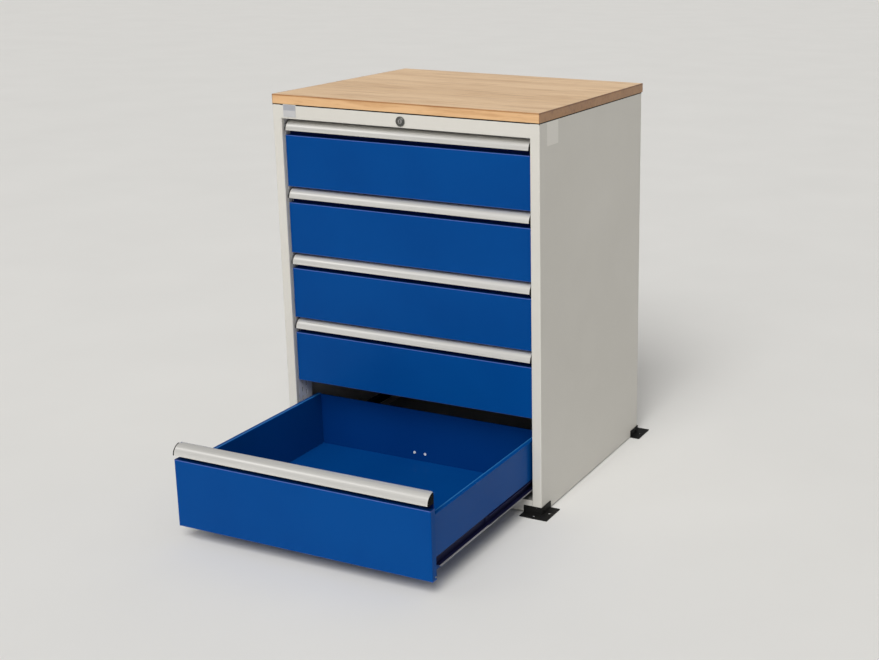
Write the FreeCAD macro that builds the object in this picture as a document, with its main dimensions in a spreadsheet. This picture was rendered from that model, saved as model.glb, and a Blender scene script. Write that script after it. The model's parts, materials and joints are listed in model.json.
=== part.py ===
import FreeCAD, Part
import math
import os
import re
import Sketcher

# Drawer cabinet of folded sheet steel: grey carcass, five blue drawers on nested
# telescopic slides, beech worktop and one lock that holds all the drawers.
# X is the width, +Y points to the back, +Z up. The origin lies on the floor, in the
# middle of the carcass. The bottom drawer rests pulled out, the others closed.

doc = FreeCAD.newDocument("drawer_cabinet")
sizes = doc.addObject("Spreadsheet::Sheet", "Sizes")

driving_sizes = {
    # carcass
    "body_width": 770, "body_depth": 638, "body_height": 1008, "skin": 1.2,
    "post_width": 26, "post_return": 10, "rear_flange": 20,
    "rail_height": 38, "rail_return": 30, "rail_lip": 6, "sill_height": 33,
    "top_plate_thickness": 1.5, "back_thickness": 1,
    # worktop and feet
    "worktop_thickness": 24, "worktop_overhang": 8,
    "foot_plate": 3, "foot_wall": 2.5, "foot_wall_height": 18,
    "foot_leg": 50, "foot_reach": 28, "floor_hole_inset": 15, "floor_hole_diameter": 9,
    "foot_screw_diameter": 5, "foot_screw_head": 9, "foot_screw_head_height": 2,
    "foot_screw_height": 12, "foot_screw_inset": 13, "foot_screw_length": 10,
    # slotted uprights behind the posts
    "upright_depth": 58, "upright_setback": 12, "upright_rear_setback": 540,
    "upright_sheet": 1.5, "upright_foot": 40, "upright_length": 940,
    "slot_width": 4, "slot_height": 14, "slot_pitch": 25, "slot_column_gap": 17,
    # drawer levels, measured from the top of the handle
    "first_handle_top": 967, "level_pitch": 179,
    "low_front": 174, "tall_front": 211.5, "floor_above_front": 7.5,
    "wall_top_drop": 56, "skirt_above_floor": 43.5,
    # drawer front and handle
    "front_setback": 10, "front_back_plane": 29, "front_half_width": 357,
    "shelf_drop": 38, "front_flange": 14, "front_top_return": 9,
    "handle_half_length": 352, "handle_radius": 25, "handle_wall": 2,
    "handle_lip_length": 5.5, "handle_lip_thickness": 1.5, "handle_flange": 8,
    "handle_back": 30, "fold_ease": 0.15, "end_cap_thickness": 3,
    # drawer tray
    "tray_sheet": 1, "tray_half_inside": 339, "tray_half_outside": 352,
    "tray_back_plane": 589,
    # telescopic slides
    "slide_sheet": 1.5, "slide_fit": 0.4, "runner_low": 15, "runner_high": 42,
    "runner_front": 52, "runner_back": 588, "runner_edge": 351,
    "middle_edge": 354.5, "cabinet_rail_inner": 343.8,
    "rail_front": 31, "rail_back": 585,
    # lock, drive shaft and locking bar
    "lock_height": 989.5, "lock_flange_diameter": 25, "lock_flange_thickness": 2.5,
    "lock_barrel_diameter": 18, "lock_barrel_length": 26, "plug_diameter": 12,
    "plug_fit": 0.2, "plug_proud": 3, "plug_back": 30, "nut_width": 24,
    "nut_thickness": 4, "keyway_width": 1.6, "keyway_height": 7, "keyway_depth": 4,
    "shaft_diameter": 6, "crank_radius": 20, "crank_angle": 45, "crank_front": 608,
    "crank_thickness": 4, "crank_pin_diameter": 5, "crank_pin_length": 9,
    "crank_pin_room": 0.8, "crank_width": 10, "bar_width": 22,
    "bar_thickness": 2, "bar_front": 615, "bar_bottom": 70, "bar_top": 1009,
    "tooth_width": 12, "tooth_front": 605, "tooth_above_floor": 45,
    "tooth_height": 30, "catch_width": 45, "catch_low": 12, "catch_high": 33,
    "catch_arm_height": 14, "catch_hook_top": 42, "catch_back": 613,
    "catch_centre": 25, "catch_sheet": 2,
    "rivet_height": 22.5, "rivet_spacing": 33, "rivet_diameter": 4,
    "rivet_head_diameter": 7.5, "rivet_head_height": 1.2,
    "guide_width": 38, "guide_height": 25, "guide_fit": 0.3, "guide_front_wall": 3,
    "lower_guide": 180, "upper_guide": 700, "bearing_front": 560,
    "bearing_thickness": 12, "bearing_width": 24, "bearing_below_shaft": 10,
    # how far the drawers come out
    "rest_opening": 504,
    # worktop screws
    "worktop_screw_diameter": 4, "worktop_screw_bite": 18, "worktop_screw_tip_room": 0.5,
    "worktop_screw_head": 8, "worktop_screw_head_height": 2.5,
    "worktop_screw_side": 320, "worktop_screw_ahead": 230,
}
for row, (alias, number) in enumerate(driving_sizes.items(), start=1):
    sizes.set("A%d" % row, alias)
    sizes.set("B%d" % row, str(number))
    sizes.setAlias("B%d" % row, alias)
doc.recompute()

levels = 5
open_level = 5
slots_in_column = 36
sub_parts = []


def formula(text):
    """Expression text with every sheet alias written as FreeCAD needs it."""
    def qualify(word):
        name = word.group()
        return "Sizes." + name if name in driving_sizes else name
    return re.sub(r"[a-z_]+", qualify, text)


def value(text):
    return float(sizes.evalExpression(formula(text)))


def keep(part, label):
    part.Label = label
    sub_parts.append(part)
    return part


def place(part, x="0", y="0", z="0"):
    for axis, text in zip("xyz", (x, y, z)):
        if text != "0":
            part.setExpression("Placement.Base." + axis, formula(text))


def loose_body(label):
    body = doc.addObject("PartDesign::Body", "Body_" + label)
    body.AllowCompound = True
    return body


def new_body(label):
    return keep(loose_body(label), label)


def origin_item(body, role):
    return [item for item in body.Origin.OriginFeatures if item.Role == role][0]


def new_sketch(body, role, offset="0"):
    """Sketch on one of the body's own origin planes, moved along its normal."""
    sketch = body.newObject("Sketcher::SketchObject", "Sketch")
    sketch.AttachmentSupport = [(origin_item(body, role), "")]
    sketch.MapMode = "FlatFace"
    if offset != "0":
        sketch.setExpression("AttachmentOffset.Base.z", formula(offset))
    return sketch


def pin_point(sketch, edge, end, point):
    for kind, text in zip(("DistanceX", "DistanceY"), point):
        number = value(text)
        if abs(number) < 1e-9:
            axis = -2 if kind == "DistanceX" else -1
            sketch.addConstraint(Sketcher.Constraint("PointOnObject", edge, end, axis))
            continue
        rule = sketch.addConstraint(
            Sketcher.Constraint(kind, -1, 1, edge, end, number))
        sketch.setExpression("Constraints[%d]" % rule, formula(text))


def add_loop(sketch, points):
    """Closed loop of straight edges through points given as pairs of formulas."""
    first = sketch.GeometryCount
    spots = [FreeCAD.Vector(value(u), value(v), 0) for u, v in points]
    count = len(spots)
    for index in range(count):
        edge = Part.LineSegment(spots[index], spots[(index + 1) % count])
        sketch.addGeometry(edge)
    for index in range(count):
        following = first + (index + 1) % count
        sketch.addConstraint(
            Sketcher.Constraint("Coincident", first + index, 2, following, 1))
        pin_point(sketch, first + index, 1, points[index])


def add_circle(sketch, u, v, diameter):
    centre = FreeCAD.Vector(value(u), value(v), 0)
    normal = FreeCAD.Vector(0, 0, 1)
    circle = sketch.addGeometry(Part.Circle(centre, normal, value(diameter) / 2))
    pin_point(sketch, circle, 3, (u, v))
    rule = sketch.addConstraint(
        Sketcher.Constraint("Diameter", circle, value(diameter)))
    sketch.setExpression("Constraints[%d]" % rule, formula(diameter))


def add_arc(sketch, centre, radius, start_angle, end_angle):
    """Arc run anticlockwise, its centre and radius bound to the sheet."""
    middle = FreeCAD.Vector(value(centre[0]), value(centre[1]), 0)
    circle = Part.Circle(middle, FreeCAD.Vector(0, 0, 1), value(radius))
    arc = sketch.addGeometry(Part.ArcOfCircle(circle, start_angle, end_angle))
    pin_point(sketch, arc, 3, centre)
    rule = sketch.addConstraint(Sketcher.Constraint("Radius", arc, value(radius)))
    sketch.setExpression("Constraints[%d]" % rule, formula(radius))
    return arc


def box_points(left, right, low, high):
    return [(left, low), (right, low), (right, high), (left, high)]


def mirrored(points):
    return [("-(%s)" % u, v) for u, v in points]


def pad(body, sketch, length, both_ways=False, backwards=False):
    feature = body.newObject("PartDesign::Pad", "Pad")
    feature.Profile = sketch
    feature.setExpression("Length", formula(length))
    feature.SideType = "Symmetric" if both_ways else "One side"
    feature.Reversed = backwards
    sketch.Visibility = False
    return feature


def cut_through(body, sketch):
    """Pocket cut both ways through the whole body, checked to remove material."""
    doc.recompute()
    before = body.Shape.Volume
    feature = body.newObject("PartDesign::Pocket", "Pocket")
    feature.Profile = sketch
    feature.Type = "ThroughAll"
    feature.SideType = "Symmetric"
    sketch.Visibility = False
    doc.recompute()
    if body.Shape.Volume > before - 0.01:
        raise RuntimeError(body.Label + ": a pocket removes nothing")
    return feature


def primitive(kind, name, formulas):
    part = doc.addObject(kind, name)
    for prop, text in formulas.items():
        part.setExpression(prop, formula(text))
    return part


def lengthwise_cylinder(name, diameter, front, back, x="0", z="0"):
    """Cylinder along Y from front to back, both measured from the front plane."""
    part = primitive("Part::Cylinder", name, {
        "Radius": "(%s) / 2" % diameter, "Height": "(%s) - (%s)" % (back, front)})
    part.Placement.Rotation = FreeCAD.Rotation(FreeCAD.Vector(1, 0, 0), -90)
    place(part, x, "%s + (%s)" % (front_plane, front), z)
    return part


def fused(name, parts):
    whole = doc.addObject("Part::MultiFuse", name)
    whole.Shapes = parts
    return whole


def cut_from(name, base, tool):
    part = doc.addObject("Part::Cut", name)
    part.Base = base
    part.Tool = tool
    return part


front_plane = "-body_depth / 2"
half_width = "body_width / 2"
post_inside = half_width + " - post_width"
body_top = "foot_plate + body_height"


# ---------------------------------------------------------------- carcass

def side_panel(label, sign):
    """One sheet: front post with its return, side, and rear flange."""
    body = new_body(label)
    profile = [
        (post_inside, front_plane),
        (half_width, front_plane),
        (half_width, "body_depth / 2"),
        (half_width + " - rear_flange", "body_depth / 2"),
        (half_width + " - rear_flange", "body_depth / 2 - skin"),
        (half_width + " - skin", "body_depth / 2 - skin"),
        (half_width + " - skin", front_plane + " + skin"),
        (post_inside + " + skin", front_plane + " + skin"),
        (post_inside + " + skin", front_plane + " + post_return"),
        (post_inside, front_plane + " + post_return"),
    ]
    sketch = new_sketch(body, "XY_Plane")
    add_loop(sketch, profile if sign > 0 else mirrored(profile))
    pad(body, sketch, "body_height")
    screw_x = half_width + " - foot_screw_inset"
    screw_y = "body_depth / 2 - foot_screw_inset"
    screw_z = "foot_screw_height - foot_plate"
    holes = new_sketch(body, "XZ_Plane")
    add_circle(holes, screw_x if sign > 0 else "-(%s)" % screw_x, screw_z,
               "foot_screw_diameter + plug_fit")
    cut_through(body, holes)
    holes = new_sketch(body, "YZ_Plane")
    for end in ("", "-"):
        add_circle(holes, "%s(%s)" % (end, screw_y), screw_z,
                   "foot_screw_diameter + plug_fit")
    cut_through(body, holes)
    place(body, z="foot_plate")


def top_rail():
    body = new_body("top_rail")
    low = body_top + " - rail_height"
    sketch = new_sketch(body, "YZ_Plane")
    add_loop(sketch, [
        (front_plane, low),
        (front_plane + " + rail_return", low),
        (front_plane + " + rail_return", low + " + rail_lip"),
        (front_plane + " + rail_return - skin", low + " + rail_lip"),
        (front_plane + " + rail_return - skin", low + " + skin"),
        (front_plane + " + skin", low + " + skin"),
        (front_plane + " + skin", body_top + " - skin"),
        (front_plane + " + rail_return", body_top + " - skin"),
        (front_plane + " + rail_return", body_top),
        (front_plane, body_top),
    ])
    pad(body, sketch, "body_width - 2 * post_width", both_ways=True)
    hole = new_sketch(body, "XZ_Plane")
    add_circle(hole, "0", "lock_height", "lock_barrel_diameter + plug_fit")
    cut_through(body, hole)


def bottom_tray():
    """The sill at the front and the cabinet's floor are one folded sheet."""
    body = new_body("bottom_tray")
    top = "foot_plate + sill_height"
    rear = "body_depth / 2 - skin - back_thickness"
    sketch = new_sketch(body, "YZ_Plane")
    add_loop(sketch, [
        (front_plane, "foot_plate"),
        (front_plane + " + front_flange", "foot_plate"),
        (front_plane + " + front_flange", "foot_plate + skin"),
        (front_plane + " + skin", "foot_plate + skin"),
        (front_plane + " + skin", top + " - skin"),
        (rear + " - skin", top + " - skin"),
        (rear + " - skin", "foot_plate"),
        (rear, "foot_plate"),
        (rear, top),
        (front_plane, top),
    ])
    pad(body, sketch, "body_width - 2 * post_width", both_ways=True)


def back_panel():
    body = new_body("back_panel")
    sketch = new_sketch(body, "XZ_Plane", "-(body_depth / 2 - skin - back_thickness)")
    add_loop(sketch, box_points(
        "skin - body_width / 2", half_width + " - skin",
        "foot_plate", body_top + " - top_plate_thickness"))
    for side in ("", "-"):
        add_circle(sketch, "%s(%s - foot_screw_inset)" % (side, half_width),
                   "foot_screw_height", "foot_screw_diameter + plug_fit")
    pad(body, sketch, "back_thickness", backwards=True)


worktop_screw_spots = [
    (side + "worktop_screw_side", along + "worktop_screw_ahead")
    for side in ("", "-") for along in ("", "-")]


def top_plate():
    body = new_body("top_plate")
    sketch = new_sketch(body, "XY_Plane")
    add_loop(sketch, box_points(
        "skin - body_width / 2", half_width + " - skin",
        front_plane + " + rail_return", "body_depth / 2 - skin"))
    for x, y in worktop_screw_spots:
        add_circle(sketch, x, y, "worktop_screw_diameter + plug_fit")
    pad(body, sketch, "top_plate_thickness")
    place(body, z=body_top + " - top_plate_thickness")


def worktop():
    body = new_body("worktop")
    sketch = new_sketch(body, "XY_Plane")
    add_loop(sketch, box_points(
        "-" + half_width, half_width,
        front_plane, "body_depth / 2 + worktop_overhang"))
    pad(body, sketch, "worktop_thickness")
    doc.recompute()
    before = body.Shape.Volume
    holes = new_sketch(body, "XY_Plane")
    for x, y in worktop_screw_spots:
        add_circle(holes, x, y, "worktop_screw_diameter + plug_fit")
    pilot = body.newObject("PartDesign::Pocket", "Pilots")
    pilot.Profile = holes
    pilot.setExpression("Length", formula("worktop_screw_bite"))
    pilot.Reversed = True
    doc.recompute()
    if body.Shape.Volume > before - 1:
        raise RuntimeError("worktop: the pilot holes remove nothing")
    place(body, z=body_top)


def worktop_screws():
    """Four screws driven up through the top plate into the wood."""
    screws = []
    plate_low = value(body_top + " - top_plate_thickness")
    shank_radius = value("worktop_screw_diameter / 2")
    shank = value(
        "worktop_screw_bite + top_plate_thickness - worktop_screw_tip_room")
    head_height = value("worktop_screw_head_height")
    for x, y in worktop_screw_spots:
        foot = FreeCAD.Vector(value(x), value(y), plate_low)
        head_foot = foot - FreeCAD.Vector(0, 0, head_height)
        head = Part.makeCylinder(value("worktop_screw_head / 2"), head_height, head_foot)
        screws.append(head.fuse(Part.makeCylinder(shank_radius, shank, foot)))
    node = keep(doc.addObject("Part::Feature", "WorktopScrews"), "worktop_screws")
    node.Shape = Part.makeCompound(screws)


def upright(label, sign, setback):
    """Slotted channel that the slides hang on, against the inside of a side panel."""
    body = new_body(label)
    near = "(%s + %s)" % (front_plane, setback)
    far = near + " + upright_depth"
    wall = half_width + " - skin"
    profile = [
        (post_inside, near),
        (wall, near),
        (wall, near + " + upright_sheet"),
        (post_inside + " + upright_sheet", near + " + upright_sheet"),
        (post_inside + " + upright_sheet", far + " - upright_sheet"),
        (wall, far + " - upright_sheet"),
        (wall, far),
        (post_inside, far),
    ]
    sketch = new_sketch(body, "XY_Plane")
    add_loop(sketch, profile if sign > 0 else mirrored(profile))
    pad(body, sketch, "upright_length")
    slots = new_sketch(body, "YZ_Plane", "%s(%s)" % ("" if sign > 0 else "-", post_inside))
    for column in (1, 2):
        centre = near + " + %d * slot_column_gap" % column
        low = "slot_pitch * %s" % (0.5 + column / 2)
        add_loop(slots, box_points(centre + " - slot_width / 2", centre + " + slot_width / 2",
                                   low, low + " + slot_height"))
    doc.recompute()
    before = body.Shape.Volume
    pocket = body.newObject("PartDesign::Pocket", "Slots")
    pocket.Profile = slots
    pocket.SideType = "Symmetric"
    pocket.setExpression("Length", formula("4 * upright_sheet"))
    pattern = body.newObject("PartDesign::LinearPattern", "SlotColumn")
    pattern.Originals = [pocket]
    pattern.Direction = (origin_item(body, "Z_Axis"), [""])
    pattern.setExpression(
        "Length", formula("slot_pitch * %d" % (slots_in_column - 1)))
    pattern.Occurrences = slots_in_column
    body.Tip = pattern
    doc.recompute()
    slot_volume = value("upright_sheet * slot_width * slot_height")
    removed = (before - body.Shape.Volume) / slot_volume
    if abs(removed - 2 * slots_in_column) > 0.5:
        raise RuntimeError("%s: %.1f slots cut" % (label, removed))
    place(body, z="upright_foot")


# ---------------------------------------------------------------- feet

def foot(label, x, y, turn):
    """Corner bracket: walls round the outside of the corner, plate on the floor."""
    body = new_body(label)
    plate = new_sketch(body, "XY_Plane")
    add_loop(plate, box_points("-foot_leg", "foot_reach", "-foot_reach", "foot_leg"))
    for end in ("", "-"):
        spot = end + "floor_hole_inset"
        add_circle(plate, spot, spot, "floor_hole_diameter")
    pad(body, plate, "foot_plate")
    walls = new_sketch(body, "XY_Plane", "foot_plate")
    add_loop(walls, [
        ("-foot_leg", "-foot_wall"), ("foot_wall", "-foot_wall"),
        ("foot_wall", "foot_leg"), ("0", "foot_leg"),
        ("0", "0"), ("-foot_leg", "0")])
    pad(body, walls, "foot_wall_height")
    hole = new_sketch(body, "XZ_Plane")
    add_circle(hole, "-foot_screw_inset", "foot_screw_height",
               "foot_screw_diameter + plug_fit")
    cut_through(body, hole)
    hole = new_sketch(body, "YZ_Plane")
    add_circle(hole, "foot_screw_inset", "foot_screw_height",
               "foot_screw_diameter + plug_fit")
    cut_through(body, hole)
    body.Placement.Rotation = FreeCAD.Rotation(FreeCAD.Vector(0, 0, 1), turn)
    place(body, x, y)


corners = (
    ("front_right", "", "-", 0), ("rear_right", "", "", 90),
    ("rear_left", "-", "", 180), ("front_left", "-", "-", 270))


def foot_screws():
    """Pan-head screws that hold the feet to the posts and the side panels."""
    radius = value("foot_screw_diameter / 2")
    length = value("foot_screw_length")
    head_radius = value("foot_screw_head / 2")
    head_height = value("foot_screw_head_height")
    height = value("foot_screw_height")
    wall = value("foot_wall")
    inset = value("foot_screw_inset")
    screws = []
    for toward_x in (-1, 1):
        for toward_y in (-1, 1):
            corner_x = toward_x * value(half_width)
            corner_y = toward_y * value("body_depth / 2")
            first = FreeCAD.Vector(corner_x - toward_x * inset,
                                   corner_y + toward_y * wall, height)
            second = FreeCAD.Vector(corner_x + toward_x * wall,
                                    corner_y - toward_y * inset, height)
            for spot, outward in ((first, FreeCAD.Vector(0, toward_y, 0)),
                                  (second, FreeCAD.Vector(toward_x, 0, 0))):
                shank = Part.makeCylinder(radius, length, spot, outward * -1)
                head = Part.makeCylinder(head_radius, head_height, spot, outward)
                screws.append(shank.fuse(head))
    node = keep(doc.addObject("Part::Feature", "FootScrews"), "foot_screws")
    node.Shape = Part.makeCompound(screws)


# ---------------------------------------------------------------- drawers

class Level:
    """Formulas for one drawer: its heights and how far it rests pulled out."""

    def __init__(self, number):
        self.name = "drawer_%d" % number
        self.top = "(first_handle_top - %d * level_pitch)" % (number - 1)
        self.front = "tall_front" if number == levels else "low_front"
        self.floor = "(floor_above_front - %s)" % self.front
        self.opening = "rest_opening" if number == open_level else "0"

    def settle(self, part, share="1"):
        place(part, y="%s - %s * %s" % (front_plane, self.opening, share), z=self.top)


rivet_columns = ("-catch_centre - rivet_spacing / 2", "-catch_centre + rivet_spacing / 2")


def drawer_tray(level):
    """Tray of five spot-welded sheets; its sides fold over outward, above the slides."""
    wall_top = "-wall_top_drop"
    inside, outside = "tray_half_inside", "tray_half_outside"
    under_top = wall_top + " - tray_sheet"
    skirt = level.floor + " + skirt_above_floor"
    below = level.floor + " - tray_sheet"
    length = "tray_back_plane - front_back_plane"
    side = [
        (inside, below), (inside, wall_top), (outside, wall_top),
        (outside, skirt), (outside + " - tray_sheet", skirt),
        (outside + " - tray_sheet", under_top), (inside + " + tray_sheet", under_top),
        (inside + " + tray_sheet", below)]
    floor = box_points("-" + inside, inside, below, level.floor)
    end = box_points("-" + inside, inside, level.floor, wall_top)

    def sheet(role, loops, near, depth, holes=()):
        body = loose_body(level.name + "_" + role)
        sketch = new_sketch(body, "XZ_Plane", "-(%s)" % near)
        for loop in loops:
            add_loop(sketch, loop)
        for x in holes:
            add_circle(sketch, x, level.floor + " + rivet_height",
                       "rivet_diameter + plug_fit")
        pad(body, sketch, depth, backwards=True)
        return body

    tray = keep(doc.addObject("Part::Compound", "Tray"), level.name + "_tray")
    tray.Links = [
        sheet("floor", [floor], "front_back_plane", length),
        sheet("sides", [side, mirrored(side)], "front_back_plane", length),
        sheet("near_end", [end], "front_back_plane", "tray_sheet"),
        sheet("far_end", [end], "tray_back_plane - tray_sheet", "tray_sheet",
              rivet_columns)]
    level.settle(tray)


def drawer_front(level):
    """Folded front: face, shelf and strip behind the handle, closed at the ends."""
    body = new_body(level.name + "_front")
    face, back = "front_setback", "front_back_plane"
    low, shelf, top = "-" + level.front, "-shelf_drop", "-handle_wall"
    section = new_sketch(body, "YZ_Plane")
    add_loop(section, [
        (back + " + front_top_return", top), ("handle_back", top),
        (back + " - skin", top + " - fold_ease"), (back + " - skin", shelf),
        (face, shelf), (face, low), (back, low),
        (back, low + " + front_flange"), (back + " - skin", low + " + front_flange"),
        (back + " - skin", low + " + skin"), (face + " + skin", low + " + skin"),
        (face + " + skin", shelf + " - skin"), (back, shelf + " - skin"),
        (back, top + " - skin"), (back + " + front_top_return", top + " - skin")])
    pad(body, section, "2 * front_half_width", both_ways=True)
    ends = new_sketch(body, "XZ_Plane", "-(%s + skin)" % face)
    end_wall = box_points("front_half_width - skin", "front_half_width",
                          low + " + skin", shelf + " - skin")
    add_loop(ends, end_wall)
    add_loop(ends, mirrored(end_wall))
    pad(body, ends, back + " - " + face + " - 2 * skin", backwards=True)
    level.settle(body)


quarter = math.pi / 2
handle_centre = ("handle_back", "-handle_radius")


def drawer_handle(level):
    """Extruded grip: a quarter round with a lip, and a flange to the front's top."""
    body = new_body(level.name + "_handle")
    inner_radius = "handle_radius - handle_wall"
    lip_top = "handle_lip_thickness - handle_radius"
    lip_inside = "handle_back - sqrt((%s) ^ 2 - handle_lip_thickness ^ 2)" % inner_radius
    front = "handle_back - handle_radius"
    flange_end = "handle_back + handle_flange"
    sketch = new_sketch(body, "YZ_Plane")
    outer = add_arc(sketch, handle_centre, "handle_radius", quarter, 2 * quarter)
    lip_angle = 2 * quarter - value("handle_lip_thickness") / value(inner_radius)
    inner = add_arc(sketch, handle_centre, inner_radius, quarter, lip_angle)
    straight = [
        (front, "-handle_radius"),
        (front + " + handle_wall + handle_lip_length", "-handle_radius"),
        (front + " + handle_wall + handle_lip_length", lip_top),
        (lip_inside, lip_top)]
    top = [("handle_back", "-handle_wall"), (flange_end, "-handle_wall"),
           (flange_end, "0"), ("handle_back", "0")]
    for chain, start, end in ((straight, (outer, 2), (inner, 2)),
                              (top, (inner, 1), (outer, 1))):
        previous = start
        for index in range(len(chain) - 1):
            ends = [FreeCAD.Vector(value(u), value(v), 0) for u, v in chain[index:index + 2]]
            edge = sketch.addGeometry(Part.LineSegment(*ends))
            sketch.addConstraint(Sketcher.Constraint("Coincident", *previous, edge, 1))
            if index > 0:
                pin_point(sketch, edge, 1, chain[index])
            previous = (edge, 2)
        sketch.addConstraint(Sketcher.Constraint("Coincident", *previous, *end))
    for arc, end in ((outer, 1), (inner, 1)):
        sketch.addConstraint(Sketcher.Constraint("Vertical", arc, 3, arc, end))
    sketch.addConstraint(Sketcher.Constraint("Horizontal", outer, 3, outer, 2))
    rule = sketch.addConstraint(Sketcher.Constraint(
        "DistanceY", -1, 1, inner, 2, value(lip_top)))
    sketch.setExpression("Constraints[%d]" % rule, formula(lip_top))
    pad(body, sketch, "2 * handle_half_length", both_ways=True)
    level.settle(body)


def handle_end_caps(level):
    """Quarter discs that close the handle, cut off flat against the front's strip."""
    body = new_body(level.name + "_end_caps")
    back = "front_back_plane - skin"
    short_of_top = math.asin(value("(handle_back - (%s)) / handle_radius" % back))
    for offset in ("handle_half_length", "-handle_half_length - end_cap_thickness"):
        sketch = new_sketch(body, "YZ_Plane", offset)
        arc = add_arc(sketch, handle_centre, "handle_radius",
                      quarter + short_of_top, 2 * quarter)
        corner = FreeCAD.Vector(value(back), -value("handle_radius"), 0)
        near_end = FreeCAD.Vector(value("handle_back - handle_radius"), corner.y, 0)
        height = value("handle_radius") * math.cos(short_of_top)
        bottom = sketch.addGeometry(Part.LineSegment(near_end, corner))
        rear = sketch.addGeometry(Part.LineSegment(
            corner, corner + FreeCAD.Vector(0, height, 0)))
        sketch.addConstraint([
            Sketcher.Constraint("Coincident", arc, 2, bottom, 1),
            Sketcher.Constraint("Coincident", bottom, 2, rear, 1),
            Sketcher.Constraint("Coincident", rear, 2, arc, 1),
            Sketcher.Constraint("Horizontal", arc, 3, arc, 2),
            Sketcher.Constraint("Vertical", rear)])
        pin_point(sketch, bottom, 2, (back, "-handle_radius"))
        pad(body, sketch, "end_cap_thickness")
    level.settle(body)


def channel(inner, outer, low, high, open_outward=True):
    """Section of a slide channel: web on one side, two flanges toward the other."""
    web, edge = (inner, outer) if open_outward else (outer, inner)
    sheet = "slide_sheet" if open_outward else "-slide_sheet"
    return [
        (web, low), (edge, low), (edge, low + " + slide_sheet"),
        ("%s + (%s)" % (web, sheet), low + " + slide_sheet"),
        ("%s + (%s)" % (web, sheet), high + " - slide_sheet"),
        (edge, high + " - slide_sheet"), (edge, high), (web, high)]


def slide_section(level, gaps):
    """Low and high edge of a slide member, a fit and a sheet inside its neighbour."""
    inset = "%d * (slide_sheet + slide_fit)" % gaps
    return (level.floor + " + runner_low + " + inset,
            level.floor + " + runner_high - " + inset)


def paired_channels(body, section, front, back):
    sketch = new_sketch(body, "XZ_Plane", "-(%s)" % front)
    add_loop(sketch, section)
    add_loop(sketch, mirrored(section))
    pad(body, sketch, "%s - %s" % (back, front), backwards=True)


def drawer_runners(level):
    body = new_body(level.name + "_runners")
    section = channel("tray_half_inside + tray_sheet", "runner_edge",
                      *slide_section(level, 0))
    paired_channels(body, section, "runner_front", "runner_back")
    level.settle(body)


def middle_rails(level):
    body = new_body(level.name + "_middle_rails")
    inner = "tray_half_inside + tray_sheet + slide_sheet + slide_fit"
    section = channel(inner, "middle_edge", *slide_section(level, 1))
    paired_channels(body, section, "rail_front", "rail_back")
    level.settle(body, "0.5")


def cabinet_rails(label, sign):
    """The five members that hang on the uprights of one side."""
    body = new_body(label)
    for number in range(1, levels + 1):
        level = Level(number)
        low, high = slide_section(level, 2)
        section = channel("cabinet_rail_inner", post_inside,
                          level.top + " + " + low, level.top + " + " + high,
                          open_outward=False)
        sketch = new_sketch(body, "XZ_Plane", "-rail_front")
        add_loop(sketch, section if sign > 0 else mirrored(section))
        pad(body, sketch, "rail_back - rail_front", backwards=True)
    place(body, y=front_plane)


# ---------------------------------------------------------------- central lock

bar_centre = "-crank_radius"


def catch(level):
    """Hook behind the tray that the locking bar holds, with its two rivets."""
    floor = level.floor
    base_front = value("tray_back_plane")
    sheet = value("catch_sheet")
    base_centre, hook_centre = value("-catch_centre"), value(bar_centre)
    base_half, hook_half = value("catch_width / 2"), value("tooth_width / 2")
    back = value("catch_back")

    def plate(x_centre, x_half, y_near, y_far, low, high):
        corner = FreeCAD.Vector(x_centre - x_half, y_near, value(low))
        return Part.makeBox(2 * x_half, y_far - y_near, value(high) - value(low), corner)

    bracket = plate(base_centre, base_half, base_front, base_front + sheet,
                    floor + " + catch_low", floor + " + catch_high")
    arm_low = floor + " + catch_arm_height"
    arm = plate(hook_centre, hook_half, base_front, back,
                arm_low, arm_low + " + catch_sheet")
    hook = plate(hook_centre, hook_half, back - sheet, back,
                 arm_low, floor + " + catch_hook_top")
    bracket = bracket.fuse([arm, hook]).removeSplitter()
    height = value(floor + " + rivet_height")
    backward = FreeCAD.Vector(0, 1, 0)
    solids = []
    for column in rivet_columns:
        inside = FreeCAD.Vector(value(column), base_front - value("tray_sheet"), height)
        grip = value("tray_sheet") + sheet
        bore = Part.makeCylinder(
            value("(rivet_diameter + plug_fit) / 2"), 2 * grip, inside, backward)
        bracket = bracket.cut(bore)
        shank = Part.makeCylinder(value("rivet_diameter / 2"), grip, inside, backward)
        head_height = value("rivet_head_height")
        head = Part.makeCylinder(value("rivet_head_diameter / 2"), head_height,
                                 inside - backward * head_height, backward)
        tail = Part.makeCylinder(value("rivet_head_diameter / 2"), head_height,
                                 inside + backward * grip, backward)
        solids.append(shank.fuse([head, tail]))
    node = keep(doc.addObject("Part::Feature", "Catch"), level.name + "_catch")
    node.Shape = Part.makeCompound([bracket] + solids)
    level.settle(node)


def lock_housing():
    flange = lengthwise_cylinder("LockFlange", "lock_flange_diameter",
                                 "-lock_flange_thickness", "0", z="lock_height")
    barrel = lengthwise_cylinder("LockBarrel", "lock_barrel_diameter",
                                 "-lock_flange_thickness", "lock_barrel_length",
                                 z="lock_height")
    bore = lengthwise_cylinder("LockBore", "plug_diameter + plug_fit",
                               "-2 * lock_flange_thickness", "2 * lock_barrel_length",
                               z="lock_height")
    keep(cut_from("LockHousing", fused("LockBlank", [flange, barrel]), bore),
         "lock_housing")


def lock_nut():
    blank = primitive("Part::Prism", "NutBlank", {
        "Circumradius": "nut_width / sqrt(3)", "Height": "nut_thickness"})
    blank.Polygon = 6
    blank.Placement.Rotation = FreeCAD.Rotation(FreeCAD.Vector(1, 0, 0), -90)
    place(blank, "0", front_plane + " + skin", "lock_height")
    bore = lengthwise_cylinder("NutBore", "lock_barrel_diameter", "0",
                               "lock_barrel_length", z="lock_height")
    keep(cut_from("LockNut", blank, bore), "lock_nut")


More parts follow.
